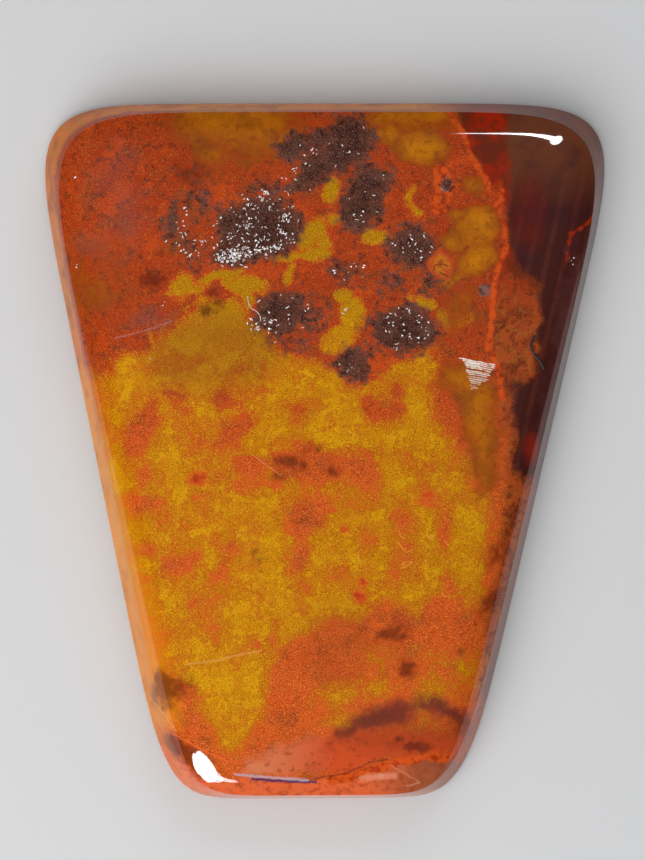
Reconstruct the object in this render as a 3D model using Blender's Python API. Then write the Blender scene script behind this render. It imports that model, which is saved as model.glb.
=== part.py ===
"""A polished agate cabochon: one piece of stone with a flat back, a slanted girdle and a low crown.

The stone lies on its flat back. +X and +Y lie in the back, with the wide end towards +Y,
and +Z points out of the crown. The origin is the middle of the outline's box, on the back.
"""

import math
from collections import namedtuple

import bmesh
import bpy

MM = 0.001

# The outline, seen from above
LENGTH = 36.0 * MM
WIDE_END = 31.1 * MM  # between the long sides' lines, where they reach the wide end
NARROW_END = 15.6 * MM  # the same at the narrow end
LEAN = 0.29 * MM  # the wide end's middle lies this far to +X, the narrow end's to -X
SQUARENESS = 8.0  # superellipse exponent of the outline: 2 is an ellipse

# The section, from the back up
BACK_BEVEL = 0.4 * MM
GIRDLE_HEIGHT = 2.6 * MM
SIDE_TAPER = 0.55 * MM  # how far the girdle leans in along the long sides, from its foot to its top
END_TAPER = 0.4 * MM  # the same at the two ends
TOP_SQUARENESS = 7.0  # superellipse exponent of the girdle's top edge
SHOULDER_RISE = 1.0 * MM
SHOULDER_REACH = 1.25 * MM  # distance from the girdle in which the shoulder makes 63% of its rise
CROWN_RISE = 1.2 * MM
MEAN_RADIUS = 14.2 * MM  # turns a share of the crown's size into a distance in from its edge
MIDDLE_SQUARENESS = 2.0  # superellipse exponent at the middle of the crown

# The faceting
AROUND = 112
CROWN_RINGS = 17
RING_CROWDING = 2.2  # 1 spaces the crown's rings evenly, more crowds them towards the shoulder
BACK_RING = 0.5  # size of the one ring that lies inside the flat back
SHARPEST_SMOOTH_EDGE = 30  # degrees

NODE = "agate_cabochon"
HONEY_RED = (0.47, 0.12, 0.015, 1.0)
POLISH_ROUGHNESS = 0.05
QUARTZ_IOR = 1.54


def clear_scene():
    for obj in list(bpy.data.objects):
        bpy.data.objects.remove(obj, do_unlink=True)


Ring = namedtuple("Ring", "side_inset end_inset squareness share height")


def section():
    """Each ring of the stone, from the inside of the back up to the crown's last ring."""
    rings = [
        Ring(BACK_BEVEL, BACK_BEVEL, SQUARENESS, BACK_RING, 0.0),
        Ring(BACK_BEVEL, BACK_BEVEL, SQUARENESS, 1.0, 0.0),
        Ring(0.0, 0.0, SQUARENESS, 1.0, BACK_BEVEL),
        Ring(SIDE_TAPER, END_TAPER, TOP_SQUARENESS, 1.0, GIRDLE_HEIGHT),
    ]
    for step in range(1, CROWN_RINGS + 1):
        share = 1.0 - (step / (CROWN_RINGS + 1)) ** RING_CROWDING
        squareness = MIDDLE_SQUARENESS + (TOP_SQUARENESS - MIDDLE_SQUARENESS) * share
        rings.append(Ring(SIDE_TAPER, END_TAPER, squareness, share, crown_height(share)))
    return rings


def crown_height(share):
    """Height of the crown's level line of this size: a quickly rounded shoulder, and a shallow dome on it."""
    from_girdle = (1.0 - share) * MEAN_RADIUS
    shoulder = SHOULDER_RISE * (1.0 - math.exp(-from_girdle / SHOULDER_REACH))
    dome = CROWN_RISE * (1.0 - share**2)
    return GIRDLE_HEIGHT + shoulder + dome


def ring_point(angle, ring):
    """The point at this angle on a ring: a superellipse that widens from the narrow end to the wide end."""
    across, along = math.cos(angle), math.sin(angle)
    power = ring.squareness
    reach = ring.share * (abs(across) ** power + abs(along) ** power) ** (-1.0 / power)
    across, along = reach * across, reach * along
    half_width = (WIDE_END + NARROW_END) / 4 + (WIDE_END - NARROW_END) / 4 * along - ring.side_inset
    return LEAN * along + across * half_width, along * (LENGTH / 2 - ring.end_inset)


def middle_of_outline(widest):
    """The middle of the box round the widest ring, which becomes the origin."""
    samples = [ring_point(math.tau * i / AROUND, widest) for i in range(AROUND)]
    return [(min(values) + max(values)) / 2 for values in zip(*samples)]


def cabochon_mesh(name):
    """A UV sphere whose every parallel is moved onto one ring of the section."""
    rings = section()
    back_middle = rings[0]._replace(share=0.0)
    crown_middle = rings[-1]._replace(share=0.0, height=crown_height(0.0))
    rings = [back_middle, *rings, crown_middle]
    bands = len(rings) - 1
    widest = next(ring for ring in rings if ring.height == BACK_BEVEL)
    middle_x, middle_y = middle_of_outline(widest)
    shape = bmesh.new()
    bmesh.ops.create_uvsphere(shape, u_segments=AROUND, v_segments=bands, radius=1.0)
    for vertex in shape.verts:
        polar = math.acos(max(-1.0, min(1.0, -vertex.co.z)))
        ring = rings[round(polar / math.pi * bands)]
        x, y = ring_point(math.atan2(vertex.co.y, vertex.co.x), ring)
        vertex.co = (x - middle_x, y - middle_y, ring.height)
    bmesh.ops.recalc_face_normals(shape, faces=shape.faces)
    mesh = bpy.data.meshes.new(name)
    shape.to_mesh(mesh)
    shape.free()
    mesh.shade_smooth()
    mesh.set_sharp_from_angle(angle=math.radians(SHARPEST_SMOOTH_EDGE))
    return mesh


def agate_material():
    material = bpy.data.materials.new("polished_agate")
    material.use_nodes = True
    shader = material.node_tree.nodes["Principled BSDF"]
    shader.inputs["Base Color"].default_value = HONEY_RED
    shader.inputs["Roughness"].default_value = POLISH_ROUGHNESS
    shader.inputs["Metallic"].default_value = 0.0
    shader.inputs["IOR"].default_value = QUARTZ_IOR
    return material


def main():
    clear_scene()
    collection = bpy.data.collections.new(NODE)
    bpy.context.scene.collection.children.link(collection)
    stone = bpy.data.objects.new(NODE, cabochon_mesh(NODE))
    stone.data.materials.append(agate_material())
    collection.objects.link(stone)


main()
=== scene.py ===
# %% [markdown]
# # A polished agate cabochon
# One piece of agate, cut with a flat back, a girdle that leans in all round, and a low rounded crown.
# The outline tapers from a wide end to a narrow end. All of it was sawn from the same rock, so it is
# one solid, and everything else about it is colour that runs through the stone.

# %% Load the measured stone
import math
import random
from collections import namedtuple

import bpy
import numpy as np
from mathutils import Matrix, Vector, noise


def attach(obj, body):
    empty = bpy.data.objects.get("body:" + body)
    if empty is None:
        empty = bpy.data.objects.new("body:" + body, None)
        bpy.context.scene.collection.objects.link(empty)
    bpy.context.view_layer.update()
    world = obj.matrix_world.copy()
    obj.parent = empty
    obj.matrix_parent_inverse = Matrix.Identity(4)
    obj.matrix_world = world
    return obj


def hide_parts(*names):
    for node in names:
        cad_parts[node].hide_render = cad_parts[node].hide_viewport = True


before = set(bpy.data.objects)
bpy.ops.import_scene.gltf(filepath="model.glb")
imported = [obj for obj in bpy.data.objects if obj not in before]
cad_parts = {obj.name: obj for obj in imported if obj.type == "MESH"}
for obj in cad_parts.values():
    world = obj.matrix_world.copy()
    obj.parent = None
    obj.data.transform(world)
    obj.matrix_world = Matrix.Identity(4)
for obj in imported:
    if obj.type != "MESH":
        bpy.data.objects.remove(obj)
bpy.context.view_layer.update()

MM = 0.001

# %% [markdown]
# ## Sizes
# These are the sizes the solid was cut to. The finished surface below is made by the same rule with a
# finer mesh, so the two agree to a few hundredths of a millimetre.

# %% Sizes of the stone
LENGTH = 36.0 * MM
WIDE_END = 31.1 * MM
NARROW_END = 15.6 * MM
LEAN = 0.29 * MM
BACK_BEVEL = 0.4 * MM
GIRDLE_HEIGHT = 2.6 * MM
SIDE_TAPER = 0.55 * MM
END_TAPER = 0.4 * MM
SHOULDER_RISE = 1.0 * MM
SHOULDER_REACH = 1.25 * MM
CROWN_RISE = 1.2 * MM
MEAN_RADIUS = 14.2 * MM
# Superellipse exponents, where 2 is an ellipse
FOOT_SQUARENESS = 8.0
TOP_SQUARENESS = 7.0
MIDDLE_SQUARENESS = 2.0
BACK_RING = 0.93  # size of the finer mesh's innermost ring, inside the flat back


def middle_of_outline(samples=112):
    """How far the middle of the outline's box lies from the axis the outline is drawn on."""
    places = []
    for step in range(samples):
        across, along = math.cos(math.tau * step / samples), math.sin(math.tau * step / samples)
        reach = (abs(across) ** FOOT_SQUARENESS + abs(along) ** FOOT_SQUARENESS) ** (-1 / FOOT_SQUARENESS)
        half_width = (WIDE_END + NARROW_END) / 4 + (WIDE_END - NARROW_END) / 4 * reach * along
        places.append(LEAN * reach * along + reach * across * half_width)
    return (min(places) + max(places)) / 2


MIDDLE = middle_of_outline()
print("the outline's box is", round(MIDDLE / MM, 3), "mm to the right of its axis")

# %% [markdown]
# ## A short way to write node trees
# Both the shape and the colours below are node trees. These few helpers keep each step to one line:
# a node with its inputs, one step of arithmetic, and a value turned from one range into another. The
# last ones make objects, plain meshes and materials.


# %% Helpers for node trees
def feed(tree, socket, value):
    """Give an input a plain value, or join another node's output to it."""
    if isinstance(value, bpy.types.NodeSocket):
        tree.links.new(value, socket)
    elif value is not None:
        socket.default_value = value


def add(tree, kind, inputs=None, **settings):
    """Add one node with its settings and its inputs."""
    made = tree.nodes.new(kind)
    for name, value in settings.items():
        setattr(made, name, value)
    for key, value in (inputs or {}).items():
        feed(tree, made.inputs[key], value)
    return made


def calc(tree, operation, first, second=None, third=None):
    """One step of arithmetic between outputs or plain numbers."""
    inputs = {0: first, 1: second, 2: third}
    return add(tree, "ShaderNodeMath", inputs, operation=operation).outputs[0]


def turned(tree, value, low, high, to_low=0.0, to_high=1.0, clamp=True, kind="LINEAR"):
    """A value that runs from low to high, turned into one that runs from to_low to to_high."""
    inputs = {"Value": value, "From Min": low, "From Max": high, "To Min": to_low, "To Max": to_high}
    made = add(tree, "ShaderNodeMapRange", inputs, clamp=clamp, interpolation_type=kind)
    return made.outputs["Result"]


def vector_step(tree, operation, first, second=None, scale=None):
    """One step of arithmetic between vectors."""
    inputs = {0: first, 1: second, 3: scale}
    return add(tree, "ShaderNodeVectorMath", inputs, operation=operation).outputs["Vector"]


def vector_measure(tree, operation, first, second=None):
    """A number taken from vectors, such as a length."""
    inputs = {0: first, 1: second}
    return add(tree, "ShaderNodeVectorMath", inputs, operation=operation).outputs["Value"]


def parts(tree, vector):
    """The three parts of a vector."""
    return add(tree, "ShaderNodeSeparateXYZ", {0: vector}).outputs


def new_group(name, kind, inputs, outputs):
    """A node group with named inputs, given as (kind, start value), and named outputs."""
    tree = bpy.data.node_groups.new(name, kind)
    for label, (socket_kind, start) in inputs.items():
        socket = tree.interface.new_socket(label, in_out="INPUT", socket_type=socket_kind)
        if start is not None:
            socket.default_value = start
    for label, socket_kind in outputs.items():
        tree.interface.new_socket(label, in_out="OUTPUT", socket_type=socket_kind)
    return tree, tree.nodes.new("NodeGroupInput").outputs, tree.nodes.new("NodeGroupOutput").inputs


def placed(name, data):
    """An object for this mesh, curve, lamp or camera, put into the scene."""
    made = bpy.data.objects.new(name, data)
    bpy.context.scene.collection.objects.link(made)
    return made


def plain_mesh(holder):
    """What an object's curve or modifiers make, as vertices and faces. The object is removed."""
    mesh = bpy.data.meshes.new_from_object(holder.evaluated_get(bpy.context.evaluated_depsgraph_get()))
    mesh.name = holder.name
    bpy.data.objects.remove(holder)
    return mesh


def grown_mesh(name, tree, inputs, base=None):
    """The mesh that a Geometry Nodes tree makes."""
    holder = placed(name, base or bpy.data.meshes.new(name))
    modifier = holder.modifiers.new("grow", "NODES")
    modifier.node_group = tree
    sockets = {item.name: item.identifier for item in tree.interface.items_tree if item.in_out == "INPUT"}
    for label, value in inputs.items():
        modifier[sockets[label]] = value
    return plain_mesh(holder)


def new_material(name):
    """A material, its node tree and its shader."""
    material = bpy.data.materials.new(name)
    material.use_nodes = True
    return material, material.node_tree, material.node_tree.nodes["Principled BSDF"]


# %% [markdown]
# ## The shape of the stone
# A cutter grinds the outline first, then the girdle, then rolls the shoulder over into the crown. The
# rule below does the same with a square sheet: the middle of the sheet becomes the crown, the next
# rings fold down as the girdle and the bevel, and the last ones tuck under as the edge of the flat
# back. A sheet is used rather than a globe because its squares stay nearly the same size everywhere,
# which keeps the reflections in the polish even. Each ring is a superellipse, squarer at the girdle
# and rounder towards the top.

# %% The rule that shapes the stone
COLUMNS, ROWS = 280, 350
CROWN_SPAN = 28 / 35
GIRDLE_SPAN = 32 / 35
BEVEL_SPAN = 33 / 35
SHARPEST_SMOOTH_EDGE = 30  # degrees
STONE_INPUTS = {
    "Length": LENGTH,
    "Wide end": WIDE_END,
    "Narrow end": NARROW_END,
    "Lean": LEAN,
    "Middle": MIDDLE,
    "Bevel": BACK_BEVEL,
    "Girdle height": GIRDLE_HEIGHT,
    "Side taper": SIDE_TAPER,
    "End taper": END_TAPER,
    "Shoulder rise": SHOULDER_RISE,
    "Shoulder reach": SHOULDER_REACH,
    "Crown rise": CROWN_RISE,
}


def stone_tree():
    floats = {label: ("NodeSocketFloat", value) for label, value in STONE_INPUTS.items()}
    outputs = {"Stone": "NodeSocketGeometry"}
    tree, given, result = new_group("cabochon shape", "GeometryNodeTree", floats, outputs)

    def do(operation, *values):
        return calc(tree, operation, *values)

    grid = {"Size X": 2.0, "Size Y": 2.0, "Vertices X": COLUMNS + 1, "Vertices Y": ROWS + 1}
    sheet = add(tree, "GeometryNodeMeshGrid", grid).outputs["Mesh"]
    place = add(tree, "GeometryNodeInputPosition").outputs[0]
    sides = parts(tree, place)
    ring = do("MAXIMUM", do("ABSOLUTE", sides[0]), do("ABSOLUTE", sides[1]))

    # Where on the section this ring lies
    crown = turned(tree, ring, 0.0, CROWN_SPAN)
    climb = turned(tree, ring, CROWN_SPAN, GIRDLE_SPAN, 1.0, 0.0)
    under = turned(tree, ring, GIRDLE_SPAN, BEVEL_SPAN)
    size = do("MULTIPLY", crown, turned(tree, ring, BEVEL_SPAN, 1.0, 1.0, BACK_RING))

    # The superellipse: the point in this direction on the ring
    length = do("MAXIMUM", vector_measure(tree, "LENGTH", place), 1e-6)
    across = do("DIVIDE", sides[0], length)
    along = do("DIVIDE", sides[1], length)
    squareness = do("ADD", turned(tree, climb, 0.0, 1.0, FOOT_SQUARENESS, TOP_SQUARENESS),
                    turned(tree, crown, 1.0, 0.0, 0.0, MIDDLE_SQUARENESS - TOP_SQUARENESS))
    powers = [do("POWER", do("ABSOLUTE", side), squareness) for side in (across, along)]
    total = do("MAXIMUM", do("ADD", *powers), 0.01)
    reach = do("MULTIPLY", do("POWER", total, do("DIVIDE", -1.0, squareness)), size)
    across = do("MULTIPLY", across, reach)
    along = do("MULTIPLY", along, reach)

    # The tapered outline, drawn in by the girdle's taper and by the bevel
    bevel = do("MULTIPLY", under, given["Bevel"])
    widths = do("ADD", given["Wide end"], given["Narrow end"])
    spread = do("SUBTRACT", given["Wide end"], given["Narrow end"])
    half_width = do("MULTIPLY_ADD", spread, do("MULTIPLY", along, 0.25), do("MULTIPLY", widths, 0.25))
    half_width = do("SUBTRACT", half_width, bevel)
    half_width = do("SUBTRACT", half_width, do("MULTIPLY", climb, given["Side taper"]))
    half_length = do("MULTIPLY_ADD", given["Length"], 0.5, do("MULTIPLY", bevel, -1.0))
    half_length = do("SUBTRACT", half_length, do("MULTIPLY", climb, given["End taper"]))
    x = do("MULTIPLY_ADD", given["Lean"], along, do("MULTIPLY", across, half_width))
    x = do("SUBTRACT", x, given["Middle"])
    y = do("MULTIPLY", along, half_length)

    # The height: bevel, girdle, shoulder and dome
    outwards = do("MULTIPLY", do("MULTIPLY", turned(tree, crown, 1.0, 0.0), MEAN_RADIUS), -1.0)
    fall = do("EXPONENT", do("DIVIDE", outwards, given["Shoulder reach"]))
    shoulder = do("MULTIPLY", do("SUBTRACT", 1.0, fall), given["Shoulder rise"])
    dome = do("MULTIPLY", do("SUBTRACT", 1.0, do("MULTIPLY", crown, crown)), given["Crown rise"])
    girdle = do("MULTIPLY", do("SUBTRACT", given["Girdle height"], given["Bevel"]), climb)
    foot = do("SUBTRACT", given["Bevel"], bevel)
    z = do("ADD", do("ADD", foot, girdle), do("ADD", shoulder, dome))

    folded = add(tree, "GeometryNodeSetPosition", {
        "Geometry": sheet, "Position": add(tree, "ShaderNodeCombineXYZ", {0: x, 1: y, 2: z}).outputs[0]})
    # The hole left in the flat back is closed with one face
    neighbours = add(tree, "GeometryNodeInputMeshEdgeNeighbors").outputs["Face Count"]
    open_edge = add(tree, "FunctionNodeCompare", {2: neighbours, 3: 1}, data_type="INT", operation="EQUAL")
    rim = add(tree, "GeometryNodeMeshToCurve", {"Mesh": folded.outputs[0], "Selection": open_edge.outputs[0]})
    lid = add(tree, "GeometryNodeFillCurve", {"Curve": rim.outputs[0]})
    lid.mode = "NGONS"
    lid = add(tree, "GeometryNodeFlipFaces", {"Mesh": lid.outputs[0]})
    closed = add(tree, "GeometryNodeJoinGeometry")
    for part in (lid, folded):
        tree.links.new(part.outputs[0], closed.inputs[0])
    merged = add(tree, "GeometryNodeMergeByDistance", {"Geometry": closed.outputs[0], "Distance": 0.001 * MM})
    smooth = add(tree, "GeometryNodeSetShadeSmooth", {"Geometry": merged.outputs[0]})
    real = add(tree, "GeometryNodeRealizeInstances", {"Geometry": smooth.outputs[0]})
    made = add(tree, "GeometryNodeSetMaterial", {"Geometry": real.outputs[0], "Material": agate})
    tree.links.new(made.outputs[0], result["Stone"])
    return tree


agate, agate_tree, agate_shader = new_material("polished_agate")
stone_mesh = grown_mesh("polished_stone", stone_tree(), STONE_INPUTS)
stone_mesh.set_sharp_from_angle(angle=math.radians(SHARPEST_SMOOTH_EDGE))
corners = np.zeros(len(stone_mesh.vertices) * 3, np.float32)
stone_mesh.vertices.foreach_get("co", corners)
surface = corners.reshape(-1, 3).astype(float) / MM
print(len(surface), "points, box", surface.min(0).round(2), surface.max(0).round(2), "mm")

# %% [markdown]
# ## Where the photo shows each point
# The markings below are placed in millimetres from the stone's middle, as they are seen from the
# camera. The camera leans a few degrees to the upper left, so a point high on the crown is seen a
# little away from where it stands. Each point of the surface is therefore followed along its line of
# sight down to the level of the outline. Points on the girdle and the back, which lie deeper in the
# rock, drift away from that by an amount that grows with depth, so the markings lean through the
# stone as they would in a real slab.

# %% The line of sight to each point
OUTLINE_LEVEL = 0.4
VIEW_CENTRE = Vector((-0.145, 1.14, OUTLINE_LEVEL))
VIEW_DISTANCE = 350.0
LEAN_LEFT, LEAN_UP = math.radians(3.0), math.radians(3.4)
NOISE_SEED = 1
EYE = VIEW_CENTRE + VIEW_DISTANCE * Vector((-math.tan(LEAN_LEFT), math.tan(LEAN_UP), 1.0)).normalized()
noise.seed_set(NOISE_SEED)


def seen_from_camera(points):
    """Each point, followed along the line of sight to the level of the outline, as x and y."""
    eye = np.array(EYE)
    share = (eye[2] - OUTLINE_LEVEL) / (eye[2] - points[:, 2:3])
    return eye[:2] + (points[:, :2] - eye[:2]) * share


def drift(points, wavelength, seed):
    """A smooth random shift in x and y for each point."""
    shift = Vector((seed * 7.1, seed * 3.3, seed * 5.7))
    return np.array([noise.noise_vector(Vector(point) / wavelength + shift)[:2] for point in points])


seen = seen_from_camera(surface)
depth_in_rock = np.clip(GIRDLE_HEIGHT / MM - surface[:, 2:3], 0.0, None)
seen = seen + drift(surface, 2.5, 1) * depth_in_rock * 0.35
wandering = seen + 0.3 * drift(surface, 1.3, 2) + 0.12 * drift(surface, 0.45, 3)
top = surface[:, 2].argmax()
print("the crown's top is seen", (seen - surface[:, :2])[top].round(2), "mm from its place")


def wandered(share):
    """The seen places, moved by this share of their wandering."""
    return seen + share * (wandering - seen)


# %% [markdown]
# ## Drawing the markings
# An agate's colours are fronts: iron moved through the silica and stopped at edges that wander but stay
# sharp. A marking is written here as how deep each point lies inside it, in millimetres, negative
# outside. The colour shader later adds fine noise to that depth and cuts it at zero, which gives every
# edge its grain. There are three kinds of mark: ovals, traced areas and strokes.


# %% Ovals, areas and strokes
def in_ovals(places, ovals):
    """Depth inside the nearest oval: x, y, half length, half width, then a turn and a softness or neither."""
    depth = np.full(len(places), -3.0)
    for x, y, half_length, half_width, *rest in ovals:
        turn, softness = [*rest, *(0.0, 1.0)[len(rest):]]
        angle = math.radians(turn)
        across = places - (x, y)
        u = (across[:, 0] * math.cos(angle) + across[:, 1] * math.sin(angle)) / half_length
        v = (across[:, 1] * math.cos(angle) - across[:, 0] * math.sin(angle)) / half_width
        reach = np.hypot(u, v)
        slope = np.hypot(u / half_length, v / half_width) + 1e-6
        inside = np.minimum(reach * (1.0 - reach) / slope, half_width)
        inside = np.where(reach < 0.3, half_width * (1.0 - reach), inside)
        depth = np.maximum(depth, inside / softness)
    return depth


def from_line(places, start, end):
    """Distance from a straight line between two points."""
    start, run = np.array(start), np.array(end) - np.array(start)
    share = np.clip(((places - start) @ run) / (run @ run), 0.0, 1.0)
    return np.linalg.norm(places - start - share[:, None] * run, axis=1)


def in_area(places, corners):
    """Depth inside an area with these corners."""
    depth = np.full(len(places), 9.0)
    inside = np.zeros(len(places), bool)
    for start, end in zip(corners, corners[1:] + corners[:1]):
        depth = np.minimum(depth, from_line(places, start, end))
        spans = (start[1] > places[:, 1]) != (end[1] > places[:, 1])
        rise = end[1] - start[1]
        crossing = start[0] + (places[:, 1] - start[1]) * (end[0] - start[0]) / (rise if rise else 1e-9)
        inside ^= spans & (places[:, 0] < crossing)
    return np.where(inside, depth, -depth)


def on_strokes(places, strokes):
    """Depth inside the nearest stroke: (width, then the points it runs through)."""
    depth = np.full(len(places), -3.0)
    for width, *stops in strokes:
        for start, end in zip(stops, stops[1:]):
            depth = np.maximum(depth, width / 2 - from_line(places, start, end))
    return depth


# %% [markdown]
# ## Yellow
# Most of the stone below the upper third is golden yellow: one large body with a ragged border, holed
# by red islands, and above it a handful of small bright patches between the dark spots.

# %% The yellow body, its red islands and the bright patches
YELLOW_BODY = [
    (-13.5, 2.0), (-11.8, 2.9), (-10.7, 4.9), (-9.1, 5.5), (-7.2, 6.9), (-6.5, 7.9), (-4.8, 7.9),
    (-3.6, 6.9), (-2.7, 5.5), (-1.3, 4.8), (0.0, 4.1), (1.0, 3.5), (2.8, 3.6), (4.1, 4.7), (5.4, 5.2),
    (5.9, 4.4), (5.5, 3.1), (5.6, 1.7), (6.5, 0.6), (7.1, -0.7), (7.5, -2.0), (8.4, -2.5), (8.6, -4.3),
    (8.2, -5.6), (8.2, -7.1), (7.6, -8.1), (7.0, -7.4), (5.6, -7.6), (4.9, -8.2), (4.1, -7.8), (3.0, -7.7),
    (2.2, -8.0), (1.7, -8.5), (0.6, -8.3), (-0.4, -8.8), (-1.2, -9.4), (-2.4, -10.0), (-2.9, -11.0),
    (-2.8, -12.8), (-3.4, -13.9), (-4.0, -15.0), (-4.8, -15.7), (-5.5, -15.3), (-5.3, -14.7), (-6.2, -13.8),
    (-6.7, -12.3), (-8.5, -11.2), (-11.0, -10.8), (-13.5, -5.0),
]
RED_ISLANDS = [
    (-9.6, 1.2, 1.8, 0.9, 62), (-7.9, 2.8, 0.9, 0.45, -5), (-11.2, 0.2, 0.75, 0.3, 75),
    (-9.2, -1.3, 0.8, 0.4, 75), (-9.5, -2.7, 1.2, 0.65, 15), (-5.2, 0.7, 1.2, 0.6, 30, 1.5),
    (-6.6, -1.35, 0.5, 0.33, 10), (-6.4, -2.3, 0.4, 0.25), (-11.8, 2.4, 1.6, 0.5, -75),
    (-5.4, -1.3, 0.9, 0.7, 30, 2.5), (-4.0, -0.7, 1.1, 0.8), (-1.4, -0.7, 1.7, 1.15), (0.4, -0.8, 0.6, 0.5),
    (-1.0, -3.4, 1.3, 1.2), (-1.4, -5.6, 1.0, 0.6, 60), (-1.1, -6.9, 0.5, 0.3, -60),
    (-1.5, 2.0, 0.55, 0.3, 40, 2), (1.4, 3.8, 0.7, 0.5), (-5.6, 2.7, 0.45, 0.25),
    (1.9, -0.9, 0.4, 0.35, 0, 2), (2.7, 2.1, 0.75, 0.45, -15, 2), (3.9, 2.2, 0.3, 0.2, 10),
    (3.8, 3.4, 0.5, 0.35, 0, 2), (6.4, 2.1, 0.95, 0.35, 50), (7.0, 0.8, 0.5, 0.3, -20),
    (4.3, -0.2, 0.6, 0.3, -30, 1.5), (6.5, -0.7, 0.5, 0.15, 75), (5.2, -1.0, 0.5, 0.35, 35, 2),
    (5.3, -2.4, 0.5, 0.4), (4.1, -3.4, 0.5, 0.35, 0, 2), (6.1, -3.8, 1.0, 0.3, 85), (7.1, -2.4, 0.25, 0.2),
    (6.3, -6.9, 0.6, 0.3, -75), (3.5, -6.3, 0.6, 0.35, -60, 2), (-9.5, -5.1, 0.75, 0.45),
    (-7.7, -5.8, 1.2, 0.7, 20), (-9.5, -6.5, 0.3, 0.3), (-5.3, -5.6, 1.5, 0.42, 63),
    (-6.9, -7.7, 0.35, 0.2, 60), (-5.9, -7.8, 0.4, 0.2, 0, 2), (-6.3, -9.1, 0.6, 0.5, 0, 2),
    (0.6, -6.3, 0.7, 0.3, 30, 1.5), (1.8, -7.6, 0.42, 0.35), (2.0, -6.7, 0.2, 0.22),
    (-2.6, -8.9, 0.25, 0.2), (-2.7, -9.9, 0.45, 0.25, 75), (-3.5, -9.9, 0.35, 0.2),
    (4.3, -5.1, 0.5, 1.0, 0, 2.5), (-9.3, -9.5, 0.9, 2.6, 15, 3),
]
YELLOW_PATCHES = [
    (0.4, 13.5, 0.65, 0.4, 80), (4.5, 13.2, 0.55, 0.25, -80), (4.75, 12.5, 0.3, 0.2, -45),
    (2.6, 11.2, 0.75, 0.4, -10), (0.5, 12.0, 0.3, 0.25), (0.0, 10.8, 0.3, 0.4), (-0.6, 11.2, 1.0, 0.5, 40),
    (-0.4, 10.3, 0.8, 0.35, 10), (-1.9, 10.1, 1.1, 0.22, 12), (-1.8, 9.2, 0.5, 0.18, 60),
    (-5.4, 9.1, 1.1, 0.3, 15), (-4.2, 8.6, 1.2, 0.42, -5), (-4.2, 7.9, 0.65, 0.36, -60),
    (-6.6, 8.6, 0.6, 0.12, 10), (-7.4, 8.7, 0.65, 0.4, 60, 2), (-7.0, 6.2, 0.6, 0.4, 0, 1.5),
    (-7.6, 4.2, 0.8, 0.28, 30), (-9.1, 5.7, 0.45, 0.15, 90), (-5.0, 5.3, 0.55, 0.3, -10),
    (1.1, 8.0, 0.45, 0.35), (1.4, 7.1, 0.95, 0.75, 80), (0.8, 5.85, 0.9, 0.6, 25),
    (5.2, 7.7, 0.45, 0.28, -20), (6.1, 6.9, 0.5, 0.25, -60), (4.4, 8.0, 0.15, 0.15),
    (7.0, 6.7, 0.25, 0.2, 0, 2), (0.2, 3.4, 0.8, 0.7), (4.9, 3.8, 0.6, 1.3),
]
FAINT_PATCHES = [
    (0.7, -12.7, 1.0, 0.45, 15), (2.7, -12.4, 0.8, 0.4), (5.7, -12.4, 0.8, 0.6), (7.5, -11.5, 0.7, 0.6),
    (0.8, -14.1, 0.6, 0.5), (5.1, -13.9, 0.5, 0.35), (5.7, -10.7, 0.5, 0.4), (2.4, -10.7, 0.5, 0.4),
]
BROWNED = [
    (1.2, -1.5, 1.95, 2.0), (-4.3, 2.8, 1.5, 2.2, -20, 2), (-7.8, 4.6, 1.8, 0.7, 10, 2),
    (2.1, -4.6, 0.9, 1.0, 0, 2), (-3.4, -1.9, 1.5, 0.6, 0, 2), (-7.1, 1.0, 1.0, 1.5, 0, 2),
    (-3.1, 0.5, 0.8, 0.5, 0, 2), (-8.0, -3.8, 1.2, 0.6, 0, 2), (3.0, 2.5, 1.5, 1.0, 0, 3),
]
PATCH_SHARPNESS, FAINTNESS, FAINT_SHORTFALL = 2.2, 0.4, 0.14
DEEPEST_GOLD = 0.55
BROWNING, BROWNED_RIM = 0.42, 0.15
yellow = np.minimum(in_area(wandering, YELLOW_BODY), -in_ovals(wandering, RED_ISLANDS))
yellow = np.maximum(yellow, PATCH_SHARPNESS * in_ovals(wandering, YELLOW_PATCHES))
yellow = np.maximum(yellow, FAINTNESS * in_ovals(wandering, FAINT_PATCHES) - FAINT_SHORTFALL)
yellow = np.minimum(yellow, DEEPEST_GOLD)
yellow = yellow - BROWNING * np.clip(in_ovals(wandered(0.3), BROWNED) / BROWNED_RIM, 0.0, 1.0)
markings = {"yellow": yellow}
print("yellow covers", round(float((yellow > 0).mean()), 2), "of the points")

# %% [markdown]
# ## Clear honey, red and dark chalcedony
# Along the upper right side the stone is clear instead of opaque. Light goes in and is swallowed, so it
# looks dark red, brown or honey, with hardly any grain. Two traced areas hold the red and the darkest
# part, and smooth honey cells lie along the border.

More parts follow.
